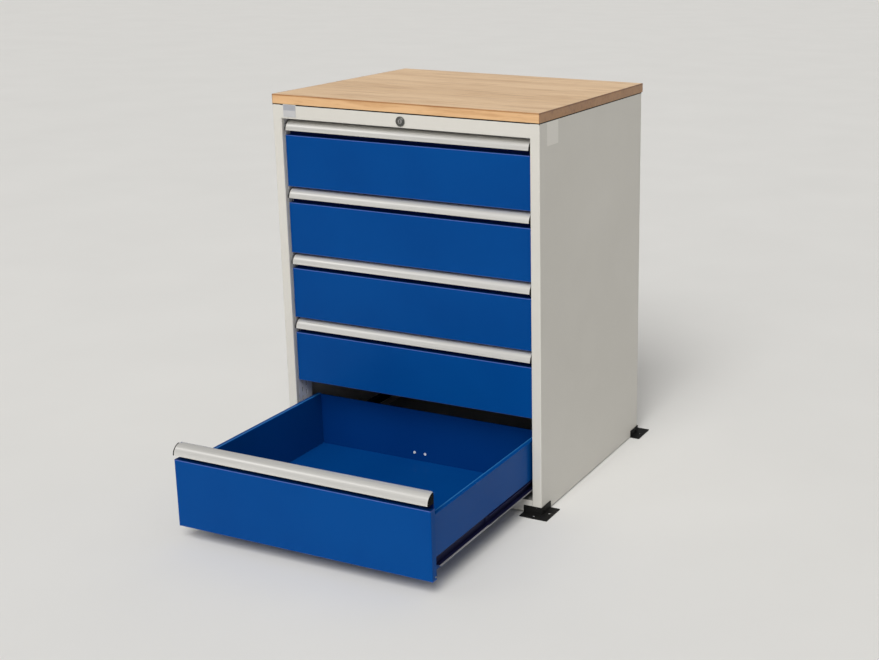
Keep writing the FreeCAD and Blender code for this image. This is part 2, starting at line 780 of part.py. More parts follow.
def lock_plug():
    blank = lengthwise_cylinder("PlugBlank", "plug_diameter", "-plug_proud",
                                "plug_back", z="lock_height")
    keyway = primitive("Part::Box", "Keyway", {
        "Length": "keyway_width", "Width": "2 * keyway_depth",
        "Height": "keyway_height"})
    place(keyway, "-keyway_width / 2", front_plane + " - plug_proud - keyway_depth",
          "lock_height - keyway_height / 2")
    keep(cut_from("LockPlug", blank, keyway), "lock_plug")


def drive_shaft():
    """Turns with the plug; its crank pin lifts and lowers the locking bar."""
    shaft = lengthwise_cylinder("Shaft", "shaft_diameter", "plug_back",
                                "crank_front + crank_thickness", z="lock_height")
    arm = primitive("Part::Box", "CrankArm", {
        "Length": "crank_radius", "Width": "crank_thickness",
        "Height": "crank_width"})
    arm.Placement.Rotation = FreeCAD.Rotation(FreeCAD.Vector(0, 1, 0),
                                              180 + value("crank_angle"))
    place(arm, "crank_width / 2 * sin(crank_angle)", front_plane + " + crank_front",
          "lock_height + crank_width / 2 * cos(crank_angle)")
    arm_end = ("-crank_radius * cos(crank_angle)",
               "lock_height + crank_radius * sin(crank_angle)")
    arm_back = "crank_front + crank_thickness"
    eye = lengthwise_cylinder("CrankEye", "crank_width", "crank_front", arm_back, *arm_end)
    hub = lengthwise_cylinder("CrankHub", "crank_width", "crank_front", arm_back,
                              z="lock_height")
    pin = lengthwise_cylinder("CrankPin", "crank_pin_diameter", "crank_front",
                              arm_back + " + crank_pin_length", *arm_end)
    keep(fused("DriveShaft", [shaft, arm, eye, hub, pin]), "drive_shaft")


def locking_bar():
    """Flat bar with one tooth above each drawer's hook; it rests raised, unlocked."""
    front = value(front_plane)
    near = front + value("bar_front")
    sheet = value("bar_thickness")
    half = value("bar_width") / 2
    centre = value(bar_centre)
    low, high = value("bar_bottom"), value("bar_top")
    bar = Part.makeBox(2 * half, sheet, high - low,
                       FreeCAD.Vector(centre - half, near, low))
    tooth_half = value("tooth_width") / 2
    tooth_near = front + value("tooth_front")
    tooth_height = value("tooth_height")
    for number in range(1, levels + 1):
        level = Level(number)
        foot_z = value("%s + %s + tooth_above_floor" % (level.top, level.floor))
        tooth = Part.makeBox(2 * tooth_half, sheet, tooth_height,
                             FreeCAD.Vector(centre - tooth_half, tooth_near, foot_z))
        web = Part.makeBox(2 * tooth_half, near - tooth_near, sheet,
                           FreeCAD.Vector(centre - tooth_half, tooth_near,
                                          foot_z + tooth_height - sheet))
        bar = bar.fuse([tooth, web])
    pin_x = value("-crank_radius * cos(crank_angle)")
    pin_z = value("lock_height + crank_radius * sin(crank_angle)")
    room = value("crank_pin_diameter / 2 + crank_pin_room")
    slot = Part.makeBox(pin_x - centre + 2 * room, 3 * sheet, 2 * room,
                        FreeCAD.Vector(centre - room, near - sheet, pin_z - room))
    node = keep(doc.addObject("Part::Feature", "LockingBar"), "locking_bar")
    node.Shape = bar.cut(slot).removeSplitter()


def lock_brackets():
    """Two guides that hold the bar to the back panel, and the shaft's bearing."""
    front = value(front_plane)
    back = value("body_depth / 2 - skin - back_thickness")
    fit = value("guide_fit")
    centre = value(bar_centre)
    near = front + value("bar_front")
    half = value("guide_width") / 2
    front_wall = value("guide_front_wall")
    height = value("guide_height")
    slot_half = value("bar_width") / 2 + fit
    solids = []
    for low in (value("lower_guide"), value("upper_guide")):
        block = Part.makeBox(2 * half, back - near + front_wall, height,
                             FreeCAD.Vector(centre - half, near - front_wall, low))
        slot = Part.makeBox(2 * slot_half, value("bar_thickness") + 2 * fit, 2 * height,
                            FreeCAD.Vector(centre - slot_half, near - fit, low - height / 2))
        solids.append(block.cut(slot))
    thickness = value("bearing_thickness")
    shaft_z = value("lock_height")
    plate_low = value(body_top + " - top_plate_thickness")
    bearing_low = shaft_z - value("bearing_below_shaft")
    width = value("bearing_width")
    bearing = Part.makeBox(width, thickness, plate_low - bearing_low, FreeCAD.Vector(
        -width / 2, front + value("bearing_front"), bearing_low))
    bore = Part.makeCylinder(
        value("(shaft_diameter + plug_fit) / 2"), 3 * thickness,
        FreeCAD.Vector(0, front + value("bearing_front") - thickness, shaft_z),
        FreeCAD.Vector(0, 1, 0))
    solids.append(bearing.cut(bore))
    node = keep(doc.addObject("Part::Feature", "LockBrackets"), "lock_brackets")
    node.Shape = Part.makeCompound(solids)


# ---------------------------------------------------------------- build and write

side_panel("side_panel_left", -1)
side_panel("side_panel_right", 1)
back_panel()
top_plate()
top_rail()
bottom_tray()
worktop()
worktop_screws()
for side_name, side_sign in (("left", -1), ("right", 1)):
    upright("upright_front_" + side_name, side_sign, "upright_setback")
    upright("upright_rear_" + side_name, side_sign, "upright_rear_setback")
    cabinet_rails("cabinet_rails_" + side_name, side_sign)
for corner_name, corner_x, corner_y, corner_turn in corners:
    foot("foot_" + corner_name, corner_x + half_width,
         corner_y + "body_depth / 2", corner_turn)
foot_screws()
for level_number in range(1, levels + 1):
    drawer = Level(level_number)
    drawer_tray(drawer)
    drawer_front(drawer)
    drawer_handle(drawer)
    handle_end_caps(drawer)
    drawer_runners(drawer)
    middle_rails(drawer)
    catch(drawer)
lock_housing()
lock_nut()
lock_plug()
drive_shaft()
locking_bar()
lock_brackets()
doc.recompute()

for item in doc.Objects:
    if "Invalid" in item.State or "Error" in item.State:
        raise RuntimeError("%s failed: %s" % (item.Label, item.State))
for part in sub_parts:
    if part.Shape.isNull() or not part.Shape.isValid() or not part.Shape.Solids:
        raise RuntimeError(part.Label + " has no valid solid")

os.makedirs("parts", exist_ok=True)
for part in sub_parts:
    part.Shape.exportStep("parts/%s.step" % part.Label)
    box = part.Shape.BoundBox
    print("%-26s %d solids  x %7.1f %7.1f  y %7.1f %7.1f  z %7.1f %7.1f  %9.0f mm3" % (
        part.Label, len(part.Shape.Solids), box.XMin, box.XMax, box.YMin, box.YMax,
        box.ZMin, box.ZMax, part.Shape.Volume))
print(len(sub_parts), "sub-parts")
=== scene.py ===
import json
import math

import bmesh
import bpy
from mathutils import Matrix, Vector


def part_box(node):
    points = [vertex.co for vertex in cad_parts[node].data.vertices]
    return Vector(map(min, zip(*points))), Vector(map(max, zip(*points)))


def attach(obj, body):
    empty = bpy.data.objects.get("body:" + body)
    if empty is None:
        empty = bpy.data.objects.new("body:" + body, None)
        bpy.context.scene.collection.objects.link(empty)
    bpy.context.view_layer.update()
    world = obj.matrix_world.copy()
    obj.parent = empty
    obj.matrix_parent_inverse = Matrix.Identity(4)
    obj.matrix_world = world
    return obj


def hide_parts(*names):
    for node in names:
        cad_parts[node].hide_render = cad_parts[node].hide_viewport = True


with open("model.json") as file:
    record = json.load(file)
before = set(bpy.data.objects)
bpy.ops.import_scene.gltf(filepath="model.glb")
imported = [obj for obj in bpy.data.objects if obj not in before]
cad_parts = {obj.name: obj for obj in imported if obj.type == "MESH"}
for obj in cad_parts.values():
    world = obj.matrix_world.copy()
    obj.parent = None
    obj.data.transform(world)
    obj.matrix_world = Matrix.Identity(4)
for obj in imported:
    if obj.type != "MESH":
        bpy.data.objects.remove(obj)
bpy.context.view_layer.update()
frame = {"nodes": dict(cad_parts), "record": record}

nodes = frame["nodes"]
mm = 0.001
drawerNumbers = (1, 2, 3, 4, 5)


def newMaterial(name, metallic=0.0, roughness=0.4, gloss=0.5, coat=0.0):
    material = bpy.data.materials.new(name)
    material.use_nodes = True
    shader = material.node_tree.nodes["Principled BSDF"]
    shader.inputs["Metallic"].default_value = metallic
    shader.inputs["Roughness"].default_value = roughness
    shader.inputs["Specular IOR Level"].default_value = gloss
    shader.inputs["Coat Weight"].default_value = coat
    return material, material.node_tree, shader


def placeSocket(tree, stretch=(1, 1, 1)):
    coordinates = tree.nodes.new("ShaderNodeTexCoord")
    mapping = tree.nodes.new("ShaderNodeMapping")
    mapping.inputs["Scale"].default_value = stretch
    tree.links.new(coordinates.outputs["Object"], mapping.inputs["Vector"])
    return mapping.outputs["Vector"]


def noiseSocket(tree, scale, detail=3.0, stretch=(1, 1, 1), distortion=0.0):
    noise = tree.nodes.new("ShaderNodeTexNoise")
    noise.inputs["Scale"].default_value = scale
    noise.inputs["Detail"].default_value = detail
    noise.inputs["Distortion"].default_value = distortion
    tree.links.new(placeSocket(tree, stretch), noise.inputs["Vector"])
    return noise.outputs["Fac"]


def rampSocket(tree, factor, stops):
    ramp = tree.nodes.new("ShaderNodeValToRGB")
    elements = ramp.color_ramp.elements
    while len(elements) < len(stops):
        elements.new(0.5)
    for element, (position, colour) in zip(elements, stops):
        element.position = position
        element.color = (*colour, 1)
    tree.links.new(factor, ramp.inputs["Fac"])
    return ramp.outputs["Color"]


def rangeSocket(tree, factor, low, high, start=0.3, end=0.7):
    spread = tree.nodes.new("ShaderNodeMapRange")
    for name, number in (("From Min", start), ("From Max", end),
                         ("To Min", low), ("To Max", high)):
        spread.inputs[name].default_value = number
    tree.links.new(factor, spread.inputs["Value"])
    return spread.outputs["Result"]


def connect(tree, socket, source):
    if isinstance(source, bpy.types.NodeSocket):
        tree.links.new(source, socket)
    else:
        socket.default_value = source


def mathSocket(tree, operation, first, second=0.0):
    step = tree.nodes.new("ShaderNodeMath")
    step.operation = operation
    connect(tree, step.inputs[0], first)
    connect(tree, step.inputs[1], second)
    return step.outputs["Value"]


def mixSocket(tree, factor, first, second, blend="MIX"):
    mix = tree.nodes.new("ShaderNodeMix")
    mix.data_type = "RGBA"
    mix.blend_type = blend
    for number, source in ((0, factor), (6, first), (7, second)):  # the colour sockets
        connect(tree, mix.inputs[number], source)
    return mix.outputs[2]


def addBump(tree, shader, height, distance):
    bump = tree.nodes.new("ShaderNodeBump")
    bump.inputs["Distance"].default_value = distance
    tree.links.new(height, bump.inputs["Height"])
    tree.links.new(bump.outputs["Normal"], shader.inputs["Normal"])


bandBlur = 0.3 * mm


# One inside bands along an axis, on both sides of the middle, nought outside them.
def bandSocket(tree, axis, bands):
    separate = tree.nodes.new("ShaderNodeSeparateXYZ")
    tree.links.new(placeSocket(tree), separate.inputs["Vector"])
    across = mathSocket(tree, "ABSOLUTE", separate.outputs[axis])
    total = None
    for near, far in bands:
        rise = rangeSocket(tree, across, 0.0, 1.0, near - bandBlur, near + bandBlur)
        fall = rangeSocket(tree, across, 1.0, 0.0, far - bandBlur, far + bandBlur)
        band = mathSocket(tree, "MULTIPLY", rise, fall)
        total = mathSocket(tree, "MAXIMUM", total, band) if total else band
    return total


paintLook = {"clouds": 3.5, "fine": 700.0, "fineTone": (0.97, 0.97, 0.97), "rubbed": 9.0,
             "smoother": 0.03, "rougher": 0.04}


# Powder coat: slight clouding, rubbed patches, orange peel, and bands toned as painted shade
# and painted highlights.
def paint(name, dark, light, roughness, gloss, peel, zones=()):
    material, tree, shader = newMaterial(name, roughness=roughness, gloss=gloss)
    clouds = noiseSocket(tree, paintLook["clouds"], detail=4)
    fine = noiseSocket(tree, paintLook["fine"], detail=1)
    base = rampSocket(tree, clouds, [(0.35, dark), (0.65, light)])
    grain = rampSocket(tree, fine, [(0.3, paintLook["fineTone"]), (0.7, (1, 1, 1))])
    colour = mixSocket(tree, 1.0, base, grain, "MULTIPLY")
    for axis, bands, tone in zones:
        colour = mixSocket(tree, bandSocket(tree, axis, bands), colour, (*tone, 1))
    tree.links.new(colour, shader.inputs["Base Color"])
    rubbed = noiseSocket(tree, paintLook["rubbed"], detail=3)
    tree.links.new(rangeSocket(tree, rubbed, roughness - paintLook["smoother"],
                               roughness + paintLook["rougher"]),
                   shader.inputs["Roughness"])
    addBump(tree, shader, fine, peel)
    return material


metalLook = {"streaks": 60.0, "grain": 240.0, "smoother": 0.05, "rougher": 0.07}


# Bare or plated metal, its streaks along the rolling or drawing direction.
def metal(name, dark, light, roughness, streakStretch=(1, 1, 1), depth=0.00001,
          metallic=1.0, gloss=0.5):
    material, tree, shader = newMaterial(name, metallic=metallic, roughness=roughness,
                                         gloss=gloss)
    streaks = noiseSocket(tree, metalLook["streaks"], detail=4, stretch=streakStretch)
    tree.links.new(rampSocket(tree, streaks, [(0.3, dark), (0.7, light)]),
                   shader.inputs["Base Color"])
    tree.links.new(rangeSocket(tree, streaks, roughness - metalLook["smoother"],
                               roughness + metalLook["rougher"]),
                   shader.inputs["Roughness"])
    grain = noiseSocket(tree, metalLook["grain"], detail=3, stretch=streakStretch)
    addBump(tree, shader, grain, depth)
    return material


plasticLook = {"tone": 30.0, "grain": 900.0, "smoother": 0.05, "rougher": 0.08}


# Moulded plastic, rubber or printed film with a fine grain.
def plastic(name, dark, light, roughness, depth, gloss=0.5):
    material, tree, shader = newMaterial(name, roughness=roughness, gloss=gloss)
    tone = noiseSocket(tree, plasticLook["tone"], detail=3)
    tree.links.new(rampSocket(tree, tone, [(0.3, dark), (0.7, light)]),
                   shader.inputs["Base Color"])
    tree.links.new(rangeSocket(tree, tone, roughness - plasticLook["smoother"],
                               roughness + plasticLook["rougher"]),
                   shader.inputs["Roughness"])
    addBump(tree, shader, noiseSocket(tree, plasticLook["grain"], detail=2), depth)
    return material


beechLook = {
    "staveWidth": 0.043, "along": 0.055, "staveShift": 7.0,
    "tones": [(0.0, (0.90, 0.87, 0.83)), (0.5, (0.96, 0.95, 0.935)), (1.0, (1.0, 1.0, 1.0))],
    "grainScale": 75.0, "grainDetail": 5.0, "grainWave": 0.6,
    "grain": [(0.30, (0.68, 0.445, 0.255)), (0.42, (0.87, 0.61, 0.375)),
              (0.7, (0.93, 0.68, 0.435))],
    "streakScale": 95.0, "streakStretch": (0.075, 1, 1),
    "streaks": [(0.34, (0.88, 0.83, 0.77)), (0.48, (1.0, 1.0, 1.0))],
    "poreScale": 420.0, "poreStretch": (0.06, 1, 1), "poreDepth": 0.00004,
    "pores": [(0.30, (0.72, 0.62, 0.52)), (0.42, (1, 1, 1))],
    "arris": (1.0305, 1.0325), "arrisTone": (0.62, 0.50, 0.36, 1),
    "frontEdge": 0.319, "frontTone": (0.76, 0.65, 0.52, 1),
    "endEdge": 0.385, "endTone": (0.43, 0.32, 0.23, 1),
    "edgeFrom": 0.0014, "edgeTo": 0.0009,
    "roughness": (0.38, 0.5), "lacquer": 0.12, "lacquerRoughness": 0.3,
}


# Glued beech staves along X, each with its own tone, and fine pores.
def beech():
    material, tree, shader = newMaterial("beech", roughness=0.42, coat=beechLook["lacquer"])
    shader.inputs["Coat Roughness"].default_value = beechLook["lacquerRoughness"]
    separate = tree.nodes.new("ShaderNodeSeparateXYZ")
    tree.links.new(placeSocket(tree), separate.inputs["Vector"])
    stave = mathSocket(tree, "FLOOR", mathSocket(
        tree, "DIVIDE", separate.outputs["Y"], beechLook["staveWidth"]))
    staveTone = tree.nodes.new("ShaderNodeTexWhiteNoise")
    staveTone.noise_dimensions = "1D"
    tree.links.new(stave, staveTone.inputs["W"])
    along = mathSocket(tree, "MULTIPLY", separate.outputs["X"], beechLook["along"])
    shift = mathSocket(tree, "MULTIPLY", staveTone.outputs["Value"], beechLook["staveShift"])
    shifted = tree.nodes.new("ShaderNodeCombineXYZ")
    tree.links.new(mathSocket(tree, "ADD", along, shift), shifted.inputs["X"])
    tree.links.new(separate.outputs["Y"], shifted.inputs["Y"])
    tree.links.new(separate.outputs["Z"], shifted.inputs["Z"])
    grain = tree.nodes.new("ShaderNodeTexNoise")
    grain.inputs["Scale"].default_value = beechLook["grainScale"]
    grain.inputs["Detail"].default_value = beechLook["grainDetail"]
    grain.inputs["Distortion"].default_value = beechLook["grainWave"]
    tree.links.new(shifted.outputs["Vector"], grain.inputs["Vector"])
    wood = rampSocket(tree, grain.outputs["Fac"], beechLook["grain"])
    tones = rampSocket(tree, staveTone.outputs["Value"], beechLook["tones"])
    streaks = rampSocket(tree, noiseSocket(tree, beechLook["streakScale"], detail=2,
                                           stretch=beechLook["streakStretch"]),
                         beechLook["streaks"])
    toned = mixSocket(tree, 1.0, mixSocket(tree, 1.0, wood, tones, "MULTIPLY"), streaks,
                      "MULTIPLY")
    pores = noiseSocket(tree, beechLook["poreScale"], detail=2,
                        stretch=beechLook["poreStretch"])
    poreTone = rampSocket(tree, pores, beechLook["pores"])
    pored = mixSocket(tree, 1.0, toned, poreTone, "MULTIPLY")
    wood = mixSocket(tree, 0.5, toned, pored)
    arris = rangeSocket(tree, separate.outputs["Z"], 0.0, 1.0, *beechLook["arris"])
    towardsFront = mathSocket(tree, "MULTIPLY", separate.outputs["Y"], -1.0)
    towardsEnds = mathSocket(tree, "ABSOLUTE", separate.outputs["X"])
    for distance, edge, tone in (
            (towardsFront, beechLook["frontEdge"], beechLook["frontTone"]),
            (towardsEnds, beechLook["endEdge"], beechLook["endTone"])):
        onEdge = rangeSocket(tree, distance, 0.0, 1.0, edge - beechLook["edgeFrom"],
                             edge - beechLook["edgeTo"])
        plain = mixSocket(tree, 1.0, wood, tone, "MULTIPLY")
        dark = mixSocket(tree, 1.0, plain, beechLook["arrisTone"], "MULTIPLY")
        wood = mixSocket(tree, onEdge, wood, mixSocket(tree, arris, plain, dark))
    tree.links.new(wood, shader.inputs["Base Color"])
    tree.links.new(rangeSocket(tree, grain.outputs["Fac"], *beechLook["roughness"]),
                   shader.inputs["Roughness"])
    addBump(tree, shader, pores, beechLook["poreDepth"])
    return material


bodyTones = {"dark": (0.60, 0.582, 0.537), "light": (0.625, 0.607, 0.562),
             "inside": (0.10, 0.097, 0.09)}
bodyPaint = paint("body_paint", bodyTones["dark"], bodyTones["light"], 0.48, 0.35, 0.000006)
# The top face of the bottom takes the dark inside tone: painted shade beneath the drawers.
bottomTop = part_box("bottom_tray")[1].z
bottomShadedPaint = paint("bottom_paint_painted_shade", bodyTones["dark"], bodyTones["light"], 0.48, 0.35,
                    0.000006, [("Z", [(bottomTop - 0.1 * mm, bottomTop + 1 * mm)],
                                bodyTones["inside"])])

frontSizes = {"shelf": 36 * mm, "depth": 19 * mm, "flange": 14 * mm, "endGap": 2.6 * mm,
              "bend": 1.5 * mm, "bendGap": 0.3 * mm}
# In these blue tones the grip tone is painted shade behind each handle, the fold tone a painted
# highlight along each front's folds, the rim tone a painted highlight along the tray rims, and
# the two wall tones painted shade on the tray ends.
blueTones = {"dark": (0.0003, 0.051, 0.230), "light": (0.0006, 0.058, 0.250),
             "recessShade": (0.0003, 0.006, 0.060), "bend": (0.085, 0.125, 0.37),
             "rim": (0.03, 0.17, 0.42), "wallShadeDark": (0.0003, 0.030, 0.165),
             "wallShadeLight": (0.0006, 0.035, 0.180)}


# Painted highlights as pale lines along the folds of each front, and painted shade darkening
# the grip behind its handle.
def frontPaintedLight():
    recessShades, bendHighlights = [], []
    for number in drawerNumbers:
        low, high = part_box("drawer_%d_front" % number)
        shelf = high.z - frontSizes["shelf"]
        recessShades.append((shelf, high.z - frontSizes["bend"]))
        bendHighlights.append((shelf - frontSizes["bend"], shelf - frontSizes["bendGap"]))
        bendHighlights.append((low.z, low.z + frontSizes["bend"]))
    return [("Z", recessShades, blueTones["recessShade"]), ("Z", bendHighlights, blueTones["bend"])]


drawerPaint = paint("drawer_paint", blueTones["dark"], blueTones["light"], 0.36, 0.05, 0.000004,
                    frontPaintedLight())
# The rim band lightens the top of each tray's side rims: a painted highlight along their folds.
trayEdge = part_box("drawer_1_tray")[1].x
rimHighlightBand = (trayEdge - 11.6 * mm, trayEdge - 8.6 * mm)
trayPaint = paint("tray_paint", blueTones["dark"], blueTones["light"], 0.36, 0.07, 0.000004,
                  [("X", [rimHighlightBand], blueTones["rim"])])
# The tray ends take a darker copy of the blue: painted shade on the end walls inside each tray.
trayEndShadePaint = paint("tray_end_painted_shade", blueTones["wallShadeDark"], blueTones["wallShadeLight"], 0.36,
                     0.05, 0.000004)
zinc = metal("zinc_sheet", (0.46, 0.47, 0.48), (0.62, 0.63, 0.64), 0.36, (1, 0.12, 1))
# The slides are coloured near-black navy instead of zinc: painted shade.
shadedSlideSteel = metal("slide_steel_painted_shade", (0.008, 0.009, 0.042), (0.012, 0.013, 0.055), 0.5,
                   (1, 0.1, 1), metallic=0.3, gloss=0.12)
brightZinc = metal("bright_zinc", (0.70, 0.70, 0.71), (0.86, 0.86, 0.88), 0.42, (1, 1, 0.12),
                   metallic=0.2)
edgeZinc = metal("edge_zinc", (0.36, 0.36, 0.38), (0.46, 0.46, 0.48), 0.45, (1, 0.12, 1),
                 metallic=0.4)
lockSteel = metal("lock_steel", (0.40, 0.40, 0.39), (0.55, 0.55, 0.53), 0.38)
plugSteel = metal("plug_steel", (0.30, 0.29, 0.28), (0.40, 0.39, 0.38), 0.22, depth=0.000004,
                  metallic=0.8)
chrome = metal("lock_chrome", (0.13, 0.13, 0.12), (0.20, 0.20, 0.19), 0.2, depth=0.000004)
aluminium = metal("handle_aluminium", (0.63, 0.62, 0.595), (0.70, 0.69, 0.665), 0.32,
                  (0.02, 1, 1), 0.000010, 0.5)
blackPlastic = plastic("cap_plastic", (0.003, 0.003, 0.003), (0.006, 0.006, 0.006), 0.7,
                       0.00001, 0.06)
footPaint = paint("foot_paint", (0.004, 0.004, 0.004), (0.008, 0.008, 0.008), 0.58, 0.22,
                  0.00001)
screwSteel = metal("screw_steel", (0.22, 0.22, 0.22), (0.34, 0.34, 0.35), 0.4)
rubber = plastic("buffer_rubber", (0.010, 0.010, 0.011), (0.022, 0.022, 0.022), 0.7, 0.00002)
badgeFilm = metal("badge_film", (0.37, 0.38, 0.42), (0.42, 0.43, 0.47), 0.45,
                  (1, 1, 0.05), 0.000003, 0.3)
badgeBandFilm = plastic("badge_band_film", (0.44, 0.44, 0.45), (0.48, 0.48, 0.49), 0.4,
                        0.000003)
labelFilm = plastic("label_film", (0.70, 0.68, 0.635), (0.72, 0.70, 0.65), 0.45, 0.000003,
                    0.35)
# Near black for the key slot, the rivet holes and behind the upright slots: painted shade.
shadeBlack = plastic("keyway_shadow", (0.004, 0.004, 0.004), (0.009, 0.009, 0.009), 0.6,
                 0.000005)
beechWood = beech()
print("materials made")

slotMaterials = {
    "body_paint": bodyPaint, "drawer_paint": drawerPaint, "zinc_sheet": zinc,
    "lock_steel": lockSteel, "lock_chrome": chrome, "handle_aluminium": aluminium,
    "cap_plastic": blackPlastic, "foot_paint": footPaint, "screw_steel": screwSteel,
    "beech": beechWood,
}
slotOfNode = {part["node"]: part["material_slot"] for part in frame["record"]["subparts"]}
for nodeName, node in nodes.items():
    node.data.materials.clear()
    material = slotMaterials[slotOfNode[nodeName]]
    # Slide members take that near-black navy as painted shade.
    if "rails" in nodeName or "runners" in nodeName:
        material = shadedSlideSteel
    elif nodeName.startswith("upright_") or nodeName.endswith("_catch"):
        material = brightZinc
    elif nodeName == "lock_plug":
        material = plugSteel
    node.data.materials.append(material)


# Keeps what a bmesh holds as a shape for addPiece.
def shapeFrom(build):
    shape = bpy.data.meshes.new("shape")
    build.to_mesh(shape)
    build.free()
    return shape


# One piece of several shapes, at the origin and smooth with its sharp edges kept.
def addPiece(name, shapes, material, body, stands=()):
    build = bmesh.new()
    for shape in shapes:
        build.from_mesh(shape)
        bpy.data.meshes.remove(shape)
    bmesh.ops.remove_doubles(build, verts=build.verts, dist=1e-6)
    bmesh.ops.recalc_face_normals(build, faces=build.faces)
    mesh = bpy.data.meshes.new(name)
    build.to_mesh(mesh)
    build.free()
    mesh.polygons.foreach_set("use_smooth", [True] * len(mesh.polygons))
    mesh.set_sharp_from_angle(angle=math.radians(35))
    mesh.materials.append(material)
    piece = bpy.data.objects.new(name, mesh)
    bpy.context.scene.collection.objects.link(piece)
    weighted = piece.modifiers.new("normals", "WEIGHTED_NORMAL")
    weighted.keep_sharp = True
    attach(piece, body)
    if stands:
        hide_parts(*stands)


def extruded(build, edges, move):
    made = bmesh.ops.extrude_edge_only(build, edges=edges)["geom"]
    moved = [item for item in made if isinstance(item, bmesh.types.BMVert)]
    bmesh.ops.translate(build, verts=moved, vec=move)


# Signed thickness that makes an open sheet grow to the side inward points to.
def thicknessTowards(face, inward, thickness):
    face.normal_update()
    return -thickness if face.normal.dot(inward) > 0 else thickness


# A sheet folded at right angles along its middle line, run straight from low to
# high; axes says where the section's two numbers and the run go, such as yzx.
def bentSheet(path, thickness, inside, low, high, axes):
    def spot(section, run):
        values = dict(zip(axes, (section[0], section[1], run)))
        return Vector((values["x"], values["y"], values["z"]))

    line = [Vector(point) for point in path]
    lefts = [(after - before).orthogonal().normalized()
             for before, after in zip(line, line[1:])]
    corners = [before + after for before, after in zip(lefts, lefts[1:])]
    shifts = [lefts[0]] + corners + [lefts[-1]]
    face = [point + shift * thickness / 2 for point, shift in zip(line, shifts)]
    build = bmesh.new()
    points = [build.verts.new(spot(point, low)) for point in face]
    edges = [build.edges.new(pair) for pair in zip(points, points[1:])]
    extruded(build, edges, spot((0, 0), high - low))
    grow = thicknessTowards(edges[0].link_faces[0], spot(-lefts[0], 0), thickness)
    for corner, before, after in zip(face[1:], lefts, lefts[1:]):
        middle = spot(corner, (low + high) / 2)
        fold = min(build.edges, key=lambda edge: (
            (edge.verts[0].co + edge.verts[1].co) / 2 - middle).length)
        turnsLeft = before.x * after.y - before.y * after.x > 0
        bmesh.ops.bevel(build, geom=[fold], offset=inside + (0 if turnsLeft else thickness),
                        offset_type="OFFSET", segments=5, profile=0.5, affect="EDGES",
                        material=-1)
    bmesh.ops.solidify(build, geom=build.faces[:], thickness=grow)
    return shapeFrom(build)


# Turned from (distance along the axis, radius) pairs; a ring's profile closes.
def turned(profile, centre, axis, steps=24, ring=False):
    centre, direction = Vector(centre), Vector(axis).normalized()
    side = direction.orthogonal().normalized()
    build = bmesh.new()
    points = [build.verts.new(centre + direction * along + side * radius)
              for along, radius in profile]
    pairs = list(zip(points, points[1:]))
    if ring:
        pairs.append((points[-1], points[0]))
    edges = [build.edges.new(pair) for pair in pairs]
    bmesh.ops.spin(build, geom=points + edges, cent=centre, axis=direction,
                   angle=2 * math.pi, steps=steps, use_merge=True)
    if not ring:
        rims = [edge for edge in build.edges if edge.is_boundary]
        bmesh.ops.holes_fill(build, edges=rims, sides=0)
    return shapeFrom(build)


plateEase = 0.35 * mm


# Thin plate with round corners and an eased front edge, lying on a flat face.
def plate(corner, across, up, outward, width, height, radius, thickness):
    corner, across, up, outward = (Vector(item) for item in (corner, across, up, outward))
    ease = min(plateEase, thickness * 0.6)
    build = bmesh.new()
    spots = (corner, corner + across * width, corner + across * width + up * height,
             corner + up * height)
    build.faces.new([build.verts.new(spot) for spot in spots])
    bmesh.ops.bevel(build, geom=build.verts[:], offset=radius, offset_type="OFFSET",
                    segments=6, profile=0.5, affect="VERTICES", material=-1)
    made = bmesh.ops.extrude_face_region(build, geom=build.faces[:], use_keep_orig=True)["geom"]
    raised = [item for item in made if isinstance(item, bmesh.types.BMVert)]
    bmesh.ops.translate(build, verts=raised, vec=outward * thickness)
    rim = [edge for edge in build.edges if all(point in raised for point in edge.verts)]
    bmesh.ops.bevel(build, geom=rim, offset=ease, offset_type="OFFSET", segments=1,
                    profile=0.5, affect="EDGES", material=-1)
    return shapeFrom(build)


# Rounds the sharp edges of a construction node with a modifier.
def softenEdges(name, width, segments=2):
    node = nodes[name]
    bevel = node.modifiers.new("soft edges", "BEVEL")
    bevel.width = width
    bevel.segments = segments
    bevel.limit_method = "ANGLE"
    bevel.angle_limit = math.radians(35)
    bevel.harden_normals = True
    node.data.polygons.foreach_set("use_smooth", [True] * len(node.data.polygons))


sheet = 1.2 * mm
half = sheet / 2
bend = 0.9 * mm
worktopGapSizes = {"gap": 2.6 * mm, "inset": 0.25 * mm, "wide": 3 * mm, "lap": 0.6 * mm,
             "corner": 0.3 * mm}
panelSizes = {"post": 26 * mm, "postReturn": 10 * mm, "rearFlange": 20 * mm}


# Side with its front post and its rear flange, folded from one sheet.
def sidePanel(name, sign):
    low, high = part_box(name)
    outer = max(abs(low.x), abs(high.x))
    inner = outer - panelSizes["post"] + half
    path = [(inner, low.y + panelSizes["postReturn"]), (inner, low.y + half),
            (outer - half, low.y + half), (outer - half, high.y - half),
            (outer - panelSizes["rearFlange"], high.y - half)]
    path = [(sign * x, y) for x, y in path]
    top = high.z - worktopGapSizes["gap"]
    addPiece(name + "_sheet", [bentSheet(path, sheet, bend, low.z, top, "xyz")],
             bodyPaint, "cabinet", [name])


railSizes = {"return": 6 * mm, "gap": 2.08 * mm}


# Front rail whose ends are welded into the posts and ground flush.
def topRail():
    low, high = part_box("top_rail")
    top = high.z - railSizes["gap"]
    path = [(high.y - half, low.z + railSizes["return"]), (high.y - half, low.z + half),
            (low.y + half, low.z + half), (low.y + half, top - half),
            (high.y, top - half)]
    addPiece("top_rail_sheet", [bentSheet(path, sheet, bend, low.x - bend - sheet,
                                          high.x + bend + sheet, "yzx")],
             bodyPaint, "cabinet", ["top_rail"])


bottomSizes = {"return": 14 * mm}


